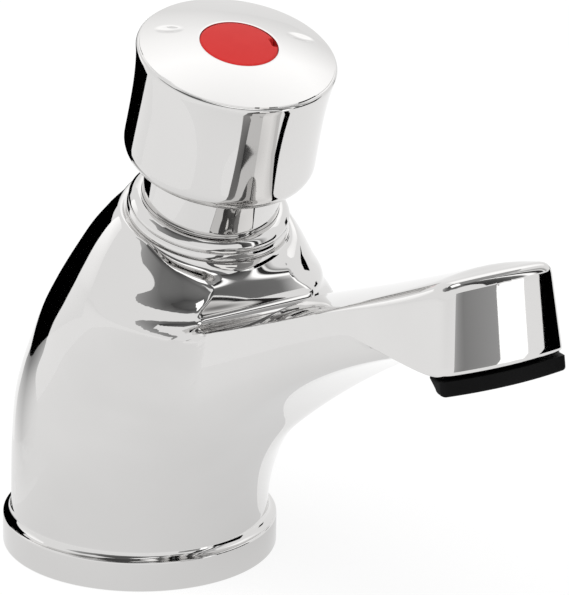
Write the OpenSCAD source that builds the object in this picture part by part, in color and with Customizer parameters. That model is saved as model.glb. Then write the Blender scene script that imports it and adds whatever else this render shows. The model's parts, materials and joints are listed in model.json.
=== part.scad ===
// Push timed basin tap: a leaning push button over a timing cartridge, in a cast body with a rising spout.
// The deck is the plane z = 0, the tail hangs below it, and the spout points along +X.

/* [Base] */
// Outer diameter of the base ring
base_d = 50; // [48:0.5:54]
// Height of the base ring
base_h = 5.8; // [5:0.1:7]
// How far the body's foot stands in from the ring's rim
foot_inset = 1.5; // [1:0.1:2.5]
// Radius of the cove between the foot and the ring's rim
foot_cove = 1.3; // [0.6:0.1:1.4]
// Radial width of the base ring under the foot
ring_w = 4; // [3:0.25:5]
// Thickness of the deck gasket
gasket_h = 1; // [0.8:0.1:1.5]

/* [Head] */
// Forward lean of the head axis, in degrees
head_lean = 16; // [13:0.5:18]
// Where the head axis meets the deck plane
head_x = 2.35; // [1.5:0.05:3.5]
// Distance along the head axis from the deck to the turret's top
turret_t = 72.5; // [71:0.25:75]
// Radial width of the collar round the neck
collar_w = 2.3; // [2:0.1:3]
// Radial step from the collar out to the turret under it
turret_step = 0.1; // [0.05:0.05:0.5]
// Height of the collar
collar_h = 4; // [3.6:0.1:6]
// Diameter of the neck sleeve
neck_d = 24.4; // [23.6:0.1:25]
// Length of neck that shows between collar and cap
neck_show = 7.4; // [7:0.1:11]

/* [Cap] */
// Radial thickness of the cap's wall near its lower edge
cap_wall = 4.4; // [4:0.05:5]
// How far the rim stands out past the cap's lower edge
cap_flare = 0.65; // [0.2:0.05:2]
// Height of the cap from its lower edge to its rim
cap_h = 22.7; // [21:0.1:24]
// Rise of the domed top above the rim
cap_crown = 2.3; // [1.5:0.1:3]
// Radius of the cap's lower edge
cap_edge_r = 3.5; // [2:0.1:4]
// Thickness of the cap's top below the rim
cap_top = 4; // [3.8:0.1:5]
// How far the cap travels when pressed
press_travel = 6; // [4:0.1:7]
// Diameter of the red indicator disc
disc_d = 13.7; // [11:0.1:15]
// Thickness of the indicator disc
disc_h = 1.9; // [1.5:0.1:2.2]
// Turn of the disc's pry notch about the leaning axis, 0 towards the spout
notch_turn = 76; // [-180:1:180]

/* [Spout] */
// Distance from the tail axis to the nose's front edge
spout_reach = 114.4; // [106:0.2:118]
// Height of the level outlet face above the deck
outlet_z = 72; // [69:0.25:75]
// Length of the level outlet face
outlet_l = 12; // [11:0.1:13]
// Height of the nose above the outlet face
nose_h = 17; // [14.5:0.1:18]
// Backward lean of the nose's front face, in degrees
nose_lean = 8; // [4:0.5:12]
// Width of the spout
spout_w = 27.6; // [26:0.2:28]
// Share by which the nose is narrower at its top than at the outlet
nose_draft = 0.15; // [0.05:0.01:0.2]
// Distance from the tail axis to the back of the scoop between turret and spout
scoop_x = 38.5; // [38:0.1:40]
// Height of the spout's top at the foot of the scoop
scoop_z = 57.9; // [57:0.1:59]
// Slope of the spout's top at the scoop, in degrees
spout_rise = 22.8; // [21:0.1:24]
// Bore of the waterway along the spout
waterway_d = 7.2; // [5:0.1:7.6]
// Bore of the outlet
outlet_d = 9; // [8:0.1:9.6]
// Height of the black drip lip below the outlet face
lip_h = 2.7; // [2:0.1:3.5]
// How far the drip lip stands out in front of the nose
lip_out = 0.8; // [0.6:0.1:2]

/* [Cartridge] */
// Distance along the head axis to the shelf that carries the cartridge
shelf_t = 30; // [29:0.25:31]
// Outer diameter of the cartridge housing
cartridge_d = 20.2; // [19.6:0.1:20.6]
// Length of the cartridge housing
cartridge_l = 34; // [33:0.25:35]
// Bore of the cartridge housing
piston_bore = 15.8; // [15.4:0.1:16]
// Diameter of the valve seat's opening
seat_bore = 8.4; // [7.4:0.1:9]
// Diameter of the spindle
spindle_d = 5; // [4.4:0.1:5.4]
// Working length of the return spring at rest
spring_l = 17; // [16:0.25:18]
// Wire diameter of the return spring
spring_wire = 1.2; // [1:0.05:1.3]
// Number of turns of the return spring
spring_turns = 6; // [5:1:7]
// Section diameter of the O-rings
oring_d = 1.2; // [1:0.05:1.4]

/* [Inlet] */
// Diameter over the thread of the tail
tail_d = 20.955; // [20:0.005:22]
// Length of the tail below the deck
tail_l = 50; // [46:0.5:60]
// Length of the free union thread at the tail's end
union_l = 24; // [20:0.5:26]
// Bore of the tail
tail_bore = 12; // [10:0.25:12.5]
// Depth of the tail's upper end in the body
tail_in = 14; // [12:0.25:15]
// Thickest deck that the clamp takes as drawn
deck_gap = 10.5; // [6:0.25:12]
// Width across the flats of the back nut
nut_af = 27; // [26:0.5:32]
// Height of the back nut
nut_h = 8; // [6:0.25:8.5]
// Diameter of the clamp washer
washer_d = 38; // [32:0.5:42]
// Thickness of the clamp washer
washer_h = 2.5; // [2:0.1:3]

/* [Clearances] */
// Gap between pieces that are screwed or pressed together
seat_gap = 0.05; // [0.02:0.01:0.1]
// Radial gap of a sliding guide
run_gap = 0.06; // [0.03:0.01:0.1]
// Gap between the cap and the neck sleeve
cap_gap = 0.35; // [0.3:0.05:0.5]
// Gap left at the end of the cap's travel
stop_gap = 0.7; // [0.5:0.1:1]

/* [Hidden] */
$fn = 96;
eps = 0.01;
far = 200;

// Base
base_r = base_d / 2;
foot_r = base_r - foot_inset;
ring_bore_r = base_r - ring_w;
spigot_r = ring_bore_r - seat_gap;

// Stations along the head axis
neck_r = neck_d / 2;
collar_r = neck_r + collar_w;
turret_r = collar_r + turret_step;
collar_t1 = turret_t + collar_h;
cap_t0 = collar_t1 + neck_show;
rim_t = cap_t0 + cap_h;
ceiling_t = rim_t - cap_top;
sleeve_t0 = shelf_t + cartridge_l;
sleeve_t1 = ceiling_t - press_travel - stop_gap;
thread_r = neck_r - 1.1;
bush_t1 = sleeve_t1 - 3;
bush_h = 8;
bush_t0 = bush_t1 - bush_h;
boss_t0 = bush_t1 + press_travel + stop_gap;
boss_r = 5;
cap_bore_r = neck_r + cap_gap;
cap_foot_r = cap_bore_r + cap_wall;
cap_rim_r = cap_foot_r + cap_flare;
web_h = 1.8;
screw_seat_t = ceiling_t + web_h;
disc_r = disc_d / 2;
crown_r = (pow(cap_rim_r, 2) + pow(cap_crown, 2)) / (2 * cap_crown);
function crown_t(r) = rim_t + cap_crown - crown_r + sqrt(crown_r * crown_r - r * r);
disc_t0 = crown_t(disc_r) - disc_h;

// Cartridge and valve
cartridge_r = cartridge_d / 2;
bore_r = piston_bore / 2;
spindle_r = spindle_d / 2;
pocket_h = 4.5;
lip_h_in = 1;
spring_t0 = shelf_t + pocket_h + lip_h_in;
spring_r = bore_r - 0.3 - spring_wire / 2;
piston_t0 = spring_t0 + spring_l;
piston_h = 5;
piston_t1 = piston_t0 + piston_h;
hub_r = spindle_r + 0.9;
seal_h = 2;
hub_t1 = piston_t1 + seal_h;
clip_h = 0.8;
seat_t0 = shelf_t + 1;
seat_t1 = shelf_t + pocket_h;
washer_t = 2.6;
washer_r = seat_bore / 2 + 1.7;
washer_nut_h = 2.9;
chamber_r = washer_r + 1.6;
chamber_t0 = seat_t0 - washer_t - washer_nut_h - press_travel - 5.5;
spindle_t0 = seat_t0 - washer_t - washer_nut_h - 1;
port_t = spring_t0 + 5;
port_r = 2;
gallery_h = 8;
gallery_r = cartridge_r + 1.3;
oring_r = oring_d / 2;
groove_depth = oring_d + 0.02;

// Inlet
tail_r = tail_d / 2;
tail_bore_r = tail_bore / 2;
cup_r = tail_bore_r + 1.45;
cup_h = 10;
regulator_h = 5.2;
strainer_h = 3.8;
strainer_z1 = cup_h - regulator_h - tail_l;
relief_h = 2;
relief_z = union_l - tail_l;
inlet_z1 = tail_in + 12;

// Seam between the turret and the collar
seam_x = head_x + turret_t * sin(head_lean);
seam_z = turret_t * cos(head_lean);
function seam_height(x) = seam_z - (x - seam_x) * tan(head_lean);

// Spout lines
nose_top = outlet_z + nose_h;
scoop_foot = scoop_x + 6.5;
top_run = spout_reach - 1.6 - scoop_foot;
top_curl = (nose_top - scoop_z - tan(spout_rise) * top_run) / pow(top_run, 2);
function spout_top(x) = scoop_z + tan(spout_rise) * (x - scoop_foot) + top_curl * pow(x - scoop_foot, 2);
outlet_x = spout_reach - outlet_l / 2 - 1.7;
outlet_r = outlet_d / 2;
arch_x = spout_reach - outlet_l;
way_x0 = 27;
way_z0 = 45;
way_z1 = outlet_z + 6.4;
insert_h = 1.5;
insert_w = 17;
insert_proud = 0.4;
insert_l = outlet_l - 1.2;
straightener_h = 3;

// Level sections of the bell that rises from the foot to the turret, each as shares:
// height up to the seam, half width, centre towards the seam, back radius, reach of the front flank, its fullness
bell = [
  [0, 1, 0, 1, 6.8, 2],
  [0.22, 1, 0.018, 1, 3, 2],
  [0.36, 0.99, 0.067, 1, 1.97, 2],
  [0.47, 1.01, 0.179, 0.92, 1.55, 1.8],
  [0.55, 1.01, 0.313, 0.975, 1.41, 1.6],
  [0.67, 1.01, 0.537, 1.067, 1.22, 1.25],
  [0.755, 0.96, 0.734, 1.189, 1.13, 1],
  [0.817, 0.85, 0.815, 1.081, 1.09, 0.5],
  [0.864, 0.708, 0.82, 0.84, 1.03, 0.5],
  [0.942, 0.427, 0.815, 0.4, 1.02, 0.5],
  [1.005, 0.135, 0.815, -0.03, 0.99, 0.5],
  [1.068, -0.236, 0.851, -0.28, 1.04, 0.5],
  [1.4, -0.29, 0.9, -0.3, 1.08, 0.5]];
columns = 72;
arch_levels = 27;
nose_levels = 8;

function smooth(u) = let (v = min(1, max(0, u))) v * v * (3 - 2 * v);
function chord(rows, i, j, c) = (rows[j][c] - rows[i][c]) / (rows[j][0] - rows[i][0]);
function slope(rows, i, c) = chord(rows, max(0, i - 1), min(len(rows) - 1, i + 1), c);
function span(rows, u, i = 0) = i >= len(rows) - 2 || u <= rows[i + 1][0] ? i : span(rows, u, i + 1);
// Smooth curve through column c of the rows
function along(rows, u, c) =
  let (i = span(rows, u), h = rows[i + 1][0] - rows[i][0], v = (u - rows[i][0]) / h)
  rows[i][c] * (1 + 2 * v) * pow(1 - v, 2) + slope(rows, i, c) * h * v * pow(1 - v, 2)
  + rows[i + 1][c] * v * v * (3 - 2 * v) + slope(rows, i + 1, c) * h * v * v * (v - 1);

// Levels of the shell as [front x, height, squareness]: first the arch under the spout, then the nose
function arch(h) = [foot_r + (arch_x - foot_r) * h * h * (1 + 0.6 * pow(1 - h, 2)),
  base_h + (outlet_z - base_h) * h, 2 + 18 * pow(h, 2.7)];
nose_edge = 2.4;
nose_end = nose_top + 1;
function nose_front(z) = spout_reach - tan(nose_lean) * (z - outlet_z - 1.4);
levels = concat(
  [for (k = [0:arch_levels]) arch(k / arch_levels)],
  [[outlet_x, outlet_z + 0.12, 18], [spout_reach - 1.1, outlet_z + 0.25, 17]],
  [for (k = [0:nose_levels]) let (z = outlet_z + 1.4 + (nose_end - outlet_z - 1.4) * k / nose_levels)
    [nose_front(z), z, 16]]);

// One level outline: back half ellipse, flank fading into the spout's side, rounded front end
function outline(level) =
  let (front = level[0], z = level[1], square = level[2],
    share = (z - base_h) / (seam_z - base_h),
    half = turret_r + (foot_r - turret_r) * along(bell, share, 1),
    cx = seam_x * along(bell, share, 2),
    back = turret_r + (foot_r - turret_r) * along(bell, share, 3),
    flank_l = half * along(bell, share, 4),
    full = along(bell, share, 5),
    join = min(0.7071, (scoop_x + 8 - cx) / (front - cx)),
    rising = smooth((z - scoop_z + 2.9) / 3),
    side_w = spout_w / 2 * (1 - nose_draft * max(0, z - outlet_z) / nose_h))
  [for (i = [0:columns - 1])
    let (turn = i * 360 / columns - 180, a = abs(turn), side = turn < 0 ? -1 : 1)
    a > 90 ? [cx + back * cos(a), side * half * sin(a), z]
    : let (run = a > 45 ? join * cos(a) / cos(45) : 1 - (1 - join) * pow(a / 45, square),
        x = cx + (front - cx) * run,
        bulge = pow(max(0, 1 - pow(min(1, (x - cx) / flank_l), 2)), full),
        spout = 1 - (1 - smooth((x - scoop_x) / 5)) * rising,
        end = pow(max(0, 1 - pow(run, square)), 1 / square))
      [x, side * end * max(1, half * bulge + side_w * (1 - bulge) * spout), z]];

module loft(rings) {
  n = len(rings[0]);
  m = len(rings);
  points = [for (ring = rings) each ring];
  // Each four-sided cell is split along its shorter diagonal
  polyhedron(points, concat(
    [[for (i = [0:n - 1]) i]],
    [for (j = [0:m - 2]) for (i = [0:n - 1])
      each let (a = j * n + i, b = j * n + (i + 1) % n, c = b + n, d = a + n)
        norm(points[a] - points[c]) < norm(points[b] - points[d]) ? [[a, d, c], [a, c, b]] : [[a, d, b], [d, c, b]]],
    [[for (i = [n - 1:-1:0]) (m - 1) * n + i]]));
}

// Places its children on the head axis, t along it from the deck plane
module head(t = 0) translate([head_x, 0, 0]) rotate([0, head_lean, 0]) translate([0, 0, t]) children();

module rod(r, t0, t1) translate([0, 0, t0]) cylinder(r = r, h = t1 - t0);

module tube(r1, r2, t0, t1) difference() {
  rod(r2, t0, t1);
  rod(r1, t0 - 1, t1 + 1);
}

module oring(r, t) translate([0, 0, t]) rotate_extrude() translate([r, 0]) circle(r = oring_r, $fn = 24);

// Space above the body: over the seam plane, down the scoop and out along the spout's top
module above_body() {
  ledge_z = seam_height(seam_x + turret_r * cos(head_lean)) - 3.8;
  cove = [for (a = [0:15:60]) [scoop_x + 3 - 3 * cos(a), spout_top(scoop_x + 3) + 2 - 2 * sin(a)]];
  corner = [nose_front(nose_top) + 0.3, spout_top(nose_front(nose_top))];
  edge_x = corner[0] - nose_edge;
  run = [for (k = [0:8]) let (x = scoop_x + 4.5 + (edge_x - scoop_x - 4.5) * k / 8) [x, spout_top(x)]];
  edge_end = [nose_front(corner[1] - nose_edge) + 0.3, corner[1] - nose_edge];
  edge = [for (s = [0.2:0.2:1]) pow(1 - s, 2) * run[8] + 2 * s * (1 - s) * corner + s * s * edge_end];
  rotate([90, 0, 0])
    linear_extrude(far, center = true)
      polygon(concat([[-far, seam_height(-far)], [seam_x + 3.7, seam_height(seam_x + 3.7)],
        [scoop_x - 1.2, ledge_z]], cove, run, edge, [[far, edge_end[1]], [far, far], [-far, far]]));
}

// Low crown across the spout's top, highest behind the middle and fading out at the scoop and the nose
crown_x0 = scoop_x + 9;
crown_x1 = spout_reach - 7;
function spout_crown(x) = smooth((x - crown_x0) / 14) * smooth((crown_x1 - x) / 7)
  * (3.4 - 1.7 * (x - crown_x0) / (crown_x1 - crown_x0));
module crown_top() loft([for (k = [0:12])
  let (x = crown_x0 + (crown_x1 - crown_x0) * k / 12, z = spout_top(x), c = spout_crown(x),
    w = spout_w / 2 * (1 - nose_draft * max(0, z - outlet_z) / nose_h) - 0.3 - 0.6 * smooth((x - crown_x1 + 14) / 14))
  concat([for (j = [0:10]) let (u = 1 - j / 5) [x, w * u, z - 0.2 + (c + 0.2) * (1 - u * u)]],
    [[x, -w, z - 1.5], [x, w, z - 1.5]])]);

// Turret below the collar, with a small cove round its foot
module turret() {
  cove_r = 3;
  cove_t = turret_t - 4;
  head() rotate_extrude() polygon(concat([[0, shelf_t], [turret_r + cove_r, shelf_t]],
    [for (a = [0:15:90]) [turret_r + cove_r * (1 - sin(a)), cove_t - cove_r * cos(a)]],
    [[turret_r, turret_t], [0, turret_t]]));
}

module body_shell() difference() {
  loft([for (level = levels) outline(level)]);
  difference() {
    above_body();
    turret();
  }
}

module waterway() {
  run = outlet_x - way_x0;
  rise = way_z1 - way_z0;
  translate([way_x0, 0, way_z0])
    rotate([0, 90 - atan2(rise, run), 0])
      cylinder(r = waterway_d / 2, h = norm([run, rise]));
}

module outlet_pocket(gap) translate([outlet_x - insert_l / 2 - gap, -insert_w / 2 - gap, outlet_z - far / 20])
  cube([insert_l + 2 * gap, insert_w + 2 * gap, far / 20 + insert_h + gap]);

module body() color("silver") difference() {
  union() {
    body_shell();
    crown_top();
    rod(spigot_r, gasket_h, base_h + 1);
    rotate_extrude() polygon(concat([[foot_r - 2, base_h]],
      [for (a = [0:18:90]) [foot_r - 0.3 + (foot_cove + 0.3) * (1 - sin(a)), base_h + 1.2 * foot_cove * (1 - cos(a))]],
      [[foot_r - 2, base_h + 1.2 * foot_cove]]));
  }
  rod(tail_r + seat_gap, -1, tail_in);
  rod(tail_bore_r + 1.5, tail_in - 1, inlet_z1);
  head() {
    rod(chamber_r, chamber_t0, shelf_t + 1);
    rod(cartridge_r + seat_gap, shelf_t, sleeve_t0 + 1);
    rod(gallery_r, port_t - gallery_h / 2, port_t + gallery_h / 2);
    rod(thread_r + seat_gap, sleeve_t0, turret_t + 1);
    rod(thread_r + oring_d + seat_gap, turret_t - oring_d - 0.1, turret_t + 1);
  }
  waterway();
  translate([outlet_x, 0, 0]) rod(outlet_r + seat_gap, outlet_z - 1, way_z1 + waterway_d / 2 - 0.6);
  outlet_pocket(seat_gap);
}

module base_ring() color("silver") rotate_extrude() polygon([[ring_bore_r, 0], [base_r - 0.4, 0],
  [base_r, 0.4], [base_r, base_h - 0.5], [base_r - 0.5, base_h], [ring_bore_r, base_h]]);

module deck_gasket() color("dimgray") tube(tail_r + 0.4, spigot_r, 0, gasket_h);

module inlet_tail() color("goldenrod") difference() {
  rod(tail_r, -tail_l, tail_in);
  rod(tail_bore_r, -tail_l - 1, tail_in + 1);
  rod(cup_r + seat_gap, -tail_l - 1, cup_h - tail_l);
  translate([0, 0, relief_z]) tube(tail_r - 1, tail_r + 1, 0, relief_h);
  tube(tail_r - groove_depth, tail_r + 1, tail_in - 3, tail_in - 3 + oring_d + 0.1);
}

module tail_o_ring() color("black") oring(tail_r + seat_gap - oring_r - 0.02, tail_in - 2.95 + oring_r);

module strainer_holes() for (ring = [0:2])
  for (k = [0:max(0, 6 * ring - 1)])
    rotate([0, 0, ring == 0 ? 0 : k * 60 / ring])
      translate([ring * 2.1, 0, -tail_l])
        cylinder(r = 0.75, h = cup_h, $fn = 16);

module inlet_strainer() color("gainsboro") difference() {
  union() {
    tube(cup_r - 1.1, cup_r, strainer_z1 - strainer_h, strainer_z1);
    rod(cup_r, strainer_z1 - 1, strainer_z1);
  }
  strainer_holes();
}

module flow_regulator() color("white") difference() {
  rod(cup_r, strainer_z1, cup_h - tail_l);
  rod(2.2, -tail_l, cup_h - tail_l + 1);
  for (k = [0:5])
    rotate([0, 0, k * 60])
      translate([4.6, 0, -tail_l])
        cylinder(r = 1.1, h = cup_h + 1, $fn = 20);
}

module clamp_washer() color("whitesmoke") tube(tail_r + 0.3, washer_d / 2, -deck_gap - washer_h, -deck_gap);

module back_nut() color("goldenrod") translate([0, 0, -deck_gap - washer_h - nut_h]) difference() {
  intersection() {
    cylinder(r = nut_af / sqrt(3), h = nut_h, $fn = 6);
    union() {
      cylinder(r1 = nut_af / 2, r2 = nut_af / 2 + 4, h = 4);
      translate([0, 0, nut_h - 4]) cylinder(r1 = nut_af / 2 + 4, r2 = nut_af / 2, h = 4);
      translate([0, 0, 1.5]) cylinder(r = nut_af, h = nut_h - 3);
    }
  }
  translate([0, 0, -1]) cylinder(r = tail_r + 2 * seat_gap, h = nut_h + 2);
}

module valve_seat() color("goldenrod") head() difference() {
  rod(bore_r - seat_gap, seat_t0, seat_t1);
  rod(seat_bore / 2, seat_t0 - 1, seat_t1 + 1);
}

module seat_o_ring() color("black") head() oring(cartridge_r + seat_gap - oring_r - 0.02, shelf_t + 2.2);

module cartridge_groove(t) tube(cartridge_r - groove_depth, cartridge_r + 1, t - oring_r - 0.05, t + oring_r + 0.05);

cartridge_oring_t = sleeve_t0 - 5;

module cartridge_housing() color("goldenrod") head() difference() {
  rod(cartridge_r, shelf_t, sleeve_t0);
  rod(bore_r, shelf_t - 1, seat_t1);
  rod(bore_r - 1.4, shelf_t, spring_t0 + 1);
  rod(bore_r, spring_t0, sleeve_t0 + 1);
  cartridge_groove(shelf_t + 2.2);
  cartridge_groove(cartridge_oring_t);
  for (k = [0:3])
    rotate([0, 0, k * 90])
      translate([0, 0, port_t])
        rotate([0, 90, 0])
          cylinder(r = port_r, h = cartridge_r + 1, $fn = 32);
}

module cartridge_o_ring() color("black") head() oring(cartridge_r + seat_gap - oring_r - 0.02, cartridge_oring_t);

circlip_h = 0.8;
circlip_groove = 0.6;

module neck_sleeve() color("silver") head() difference() {
  union() {
    rod(thread_r, sleeve_t0, turret_t + 1);
    rod(neck_r, turret_t, sleeve_t1);
  }
  rod(thread_r - 3.1, sleeve_t0 - 1, sleeve_t1 + 1);
  rod(thread_r - 2.1, bush_t0, sleeve_t1 + 1);
  rod(thread_r - 2.1 + circlip_groove, bush_t1, bush_t1 + circlip_h + 0.1);
}

module neck_o_ring() color("black") head() oring(thread_r + oring_r + 0.01, turret_t - oring_r - 0.03);

module collar() color("silver") head() rotate_extrude() polygon([[neck_r + seat_gap, turret_t],
  [collar_r - 0.15, turret_t], [collar_r, turret_t + 0.3], [collar_r, turret_t + 0.9], [collar_r - 0.35, turret_t + 1.2],
  [collar_r - 0.35, turret_t + 1.4], [collar_r - 0.1, turret_t + 1.6], [collar_r - 0.1, turret_t + 2.2],
  [collar_r - 0.5, turret_t + 2.5], [collar_r - 0.5, collar_t1 - 0.5], [collar_r - 0.8, collar_t1 - 0.2],
  [neck_r + 0.5, collar_t1], [neck_r + seat_gap, collar_t1]]);

module guide_bush() color("ivory") head() difference() {
  rod(thread_r - 2.1 - seat_gap, bush_t0, bush_t1);
  rod(spindle_r + run_gap, bush_t0 - 1, bush_t1 + 1);
  rod(spindle_r + 2.4, bush_t0 - 1, bush_t0 + 2.5);
}

module spindle_seal() color("black") head() tube(spindle_r + run_gap, spindle_r + 2.4 - seat_gap, bush_t0, bush_t0 + 2.5);

module bush_circlip() color("gray") head(bush_t1) rotate([0, 0, 25]) rotate_extrude(angle = 310)
  translate([thread_r - 3.1, 0]) square([1.5, circlip_h]);

// Black moulded nozzle plate with the drip lip across the front of the nose
module outlet_insert() color("black") difference() {
  union() {
    translate([outlet_x - insert_l / 2, -insert_w / 2, outlet_z - insert_proud])
      cube([insert_l, insert_w, insert_h + insert_proud]);
    translate([outlet_x, 0, 0]) rod(outlet_r, outlet_z, outlet_z + 5);
    drip_lip();
  }
  translate([outlet_x, 0, 0]) rod(outlet_r - 0.9, outlet_z - 1, outlet_z + 6);
}

module drip_lip() {
  back = outlet_x + insert_l / 2 - 2.4;
  nose = spout_reach + lip_out;
  half = spout_w / 2 - 1.4;
  intersection() {
    rotate([90, 0, 0])
      linear_extrude(2 * half, center = true)
        polygon([[back, outlet_z - 2 * seat_gap], [back + 0.4, outlet_z - insert_proud],
          [nose - 2.3, outlet_z - lip_h], [nose, outlet_z - lip_h], [nose - 0.5, outlet_z - 2 * seat_gap]]);
    translate([nose - 62, 0, outlet_z - far / 2]) cylinder(r = 62, h = far, $fn = 192);
  }
}

module flow_straightener() color("gainsboro") translate([outlet_x, 0, 0]) difference() {
  rod(outlet_r - 0.9 - seat_gap, outlet_z + 0.4, outlet_z + 0.4 + straightener_h);
  for (ring = [0:1])
    for (k = [0:max(0, 6 * ring - 1)])
      rotate([0, 0, k * 60])
        translate([ring * 2.1, 0, outlet_z])
          cylinder(r = 0.8, h = straightener_h + 1, $fn = 16);
}

module outlet_seal() color("dimgray") translate([outlet_x, 0, 0]) tube(outlet_r - 0.9, outlet_r, outlet_z + 5, outlet_z + 5.8);

module cap_profile() {
  edge = [for (a = [0:15:90]) [cap_foot_r - cap_edge_r * (1 - sin(a)), cap_t0 + cap_edge_r * (1 - cos(a))]];
  flare = [for (s = [0.6:0.1:1])
    [cap_foot_r + cap_flare * pow(s, 8), cap_t0 + cap_edge_r + (cap_h - cap_edge_r) * s - 0.35 * s]];
  dome = [for (k = [0:6]) let (r = (cap_rim_r - 0.35) * (1 - k / 6)) [r, crown_t(r)]];
  polygon(concat([[cap_bore_r, cap_t0]], edge, flare, dome, [[0, ceiling_t], [cap_bore_r, ceiling_t]]));
}

module push_cap() color("silver") head() difference() {
  union() {
    rotate_extrude() cap_profile();
    rod(boss_r, boss_t0, ceiling_t + eps);
  }
  rod(disc_r + seat_gap, disc_t0, far);
  rod(3.5, screw_seat_t, far);
  rod(1.6, ceiling_t - 1, far);
  rod(spindle_r + 0.02, boss_t0 - 1, ceiling_t);
}

module indicator_disc() color("crimson") head() difference() {
  intersection() {
    rod(disc_r, disc_t0, far);
    translate([0, 0, rim_t + cap_crown - crown_r]) sphere(r = crown_r, $fn = 200);
  }
  rotate([0, 0, notch_turn])
    translate([disc_r - 0.8, -1.1, disc_t0 + disc_h / 2])
      cube([2, 2.2, 5]);
}

module cap_screw() color("gray") head() difference() {
  union() {
    rod(3.1, screw_seat_t, disc_t0 - 0.3);
    rod(1.5, ceiling_t - 8, screw_seat_t + eps);
  }
  translate([0, 0, disc_t0 - 1.5]) cylinder(r = 1.45, h = 5, $fn = 6);
}

module spindle() color("goldenrod") head() difference() {
  rod(spindle_r, spindle_t0, ceiling_t);
  rod(1.52, ceiling_t - 9, ceiling_t + 1);
  tube(spindle_r - 0.4, spindle_r + 1, hub_t1, hub_t1 + clip_h + 0.05);
}

module spindle_clip() color("gray") head(hub_t1) rotate([0, 0, 30]) rotate_extrude(angle = 300)
  translate([spindle_r - 0.35, 0]) square([2, clip_h]);

bleed_x = (hub_r + bore_r) / 2;

module piston() color("white") head() difference() {
  union() {
    rod(bore_r - run_gap, piston_t0, piston_t1);
    rod(hub_r, piston_t0, hub_t1);
  }
  rod(spindle_r + 0.02, piston_t0 - 1, hub_t1 + 1);
  translate([bleed_x, 0, 0]) rod(0.82, piston_t0 - 1, piston_t1 + 1);
}

module piston_lip_seal() color("black") head() difference() {
  rotate_extrude() polygon([[hub_r + 0.02, piston_t1], [bore_r - 0.8, piston_t1], [bore_r - run_gap, hub_t1],
    [bore_r - 0.9, hub_t1], [bore_r - 1.8, piston_t1 + 0.9], [hub_r + 0.02, piston_t1 + 0.9]]);
  translate([bleed_x, 0, 0]) rod(0.82, piston_t1 - 1, hub_t1 + 1);
}

module bleed_screw() color("goldenrod") head() translate([bleed_x, 0, 0]) difference() {
  rod(0.8, piston_t0 + 0.4, piston_t1 - 0.2);
  translate([-1, -0.15, piston_t1 - 0.7]) cube([2, 0.3, 1]);
}

module valve_washer() color("black") head() tube(spindle_r + 0.02, washer_r, seat_t0 - washer_t, seat_t0);

module valve_washer_nut() color("goldenrod") head(seat_t0 - washer_t - washer_nut_h) difference() {
  cylinder(r = 4.4, h = washer_nut_h, $fn = 6);
  translate([0, 0, -1]) cylinder(r = spindle_r + 0.02, h = washer_nut_h + 2);
}

// Closed and straight-ended helical tube, one ring of points per station
coil_steps = 8;
coil_sides = 6;
coil_rise = spring_l - spring_wire;
function coil_point(k) = let (turn = k * 360 / coil_steps)
  [spring_r * cos(turn), spring_r * sin(turn), spring_wire / 2 + coil_rise * k / (coil_steps * spring_turns)];
coil_path = [for (k = [0:coil_steps * spring_turns]) coil_point(k)];
function unit(v) = v / norm(v);
function heading(k) = unit(coil_path[min(k + 1, len(coil_path) - 1)] - coil_path[max(k - 1, 0)]);
function wire_ring(k) = let (p = coil_path[k], out = unit([p[0], p[1], 0]), ahead = heading(k), over = unit(cross(ahead, out)))
  [for (i = [0:coil_sides - 1]) let (a = i * 360 / coil_sides)
    p + spring_wire / 2 * (cos(a) * out + sin(a) * over)];
coil_gap = coil_rise / spring_turns * cos(atan2(coil_rise / spring_turns, 2 * PI * spring_r)) - spring_wire;
echo(least_gap_between_spring_turns = coil_gap);

module return_spring() color("lightgray") head(spring_t0) loft([for (k = [0:len(coil_path) - 1]) wire_ring(k)]);

body();
base_ring();
deck_gasket();
inlet_tail();
tail_o_ring();
inlet_strainer();
flow_regulator();
clamp_washer();
back_nut();
valve_seat();
seat_o_ring();
cartridge_housing();
cartridge_o_ring();
neck_sleeve();
neck_o_ring();
collar();
guide_bush();
spindle_seal();
bush_circlip();
outlet_insert();
flow_straightener();
outlet_seal();
push_cap();
indicator_disc();
cap_screw();
spindle();
spindle_clip();
piston();
piston_lip_seal();
bleed_screw();
valve_washer();
valve_washer_nut();
return_spring();
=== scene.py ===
# %% [markdown]
# # A push timed basin tap
# The tap is a chrome-plated casting with a leaning button on top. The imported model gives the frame:
# every solid sits at the origin with its place in its mesh, and it stays as it is. This lesson dresses
# that frame. Mirror-bright metal shows every flaw of a faceted solid, so the visible chrome pieces are
# worked out again as dense smooth surfaces, while the hidden brass, rubber and plastic parts keep their
# solids and only get a finish.

# %% Load the frame
import json

import bmesh
import bpy
import numpy as np
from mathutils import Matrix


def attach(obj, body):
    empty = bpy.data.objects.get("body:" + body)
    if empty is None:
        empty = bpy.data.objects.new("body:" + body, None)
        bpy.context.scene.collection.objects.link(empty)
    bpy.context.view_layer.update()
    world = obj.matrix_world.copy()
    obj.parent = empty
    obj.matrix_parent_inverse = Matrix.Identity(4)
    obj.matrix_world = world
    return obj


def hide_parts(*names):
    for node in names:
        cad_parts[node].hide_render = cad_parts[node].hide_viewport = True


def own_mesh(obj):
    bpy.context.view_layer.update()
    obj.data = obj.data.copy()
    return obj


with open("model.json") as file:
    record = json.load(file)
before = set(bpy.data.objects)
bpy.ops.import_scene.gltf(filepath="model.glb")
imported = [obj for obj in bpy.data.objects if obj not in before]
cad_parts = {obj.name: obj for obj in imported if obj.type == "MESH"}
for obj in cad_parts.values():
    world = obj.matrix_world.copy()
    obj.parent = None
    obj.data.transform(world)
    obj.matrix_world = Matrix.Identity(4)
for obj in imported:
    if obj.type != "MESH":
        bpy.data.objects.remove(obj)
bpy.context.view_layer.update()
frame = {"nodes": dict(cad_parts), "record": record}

MM = 0.001
nodes = frame["nodes"]

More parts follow.
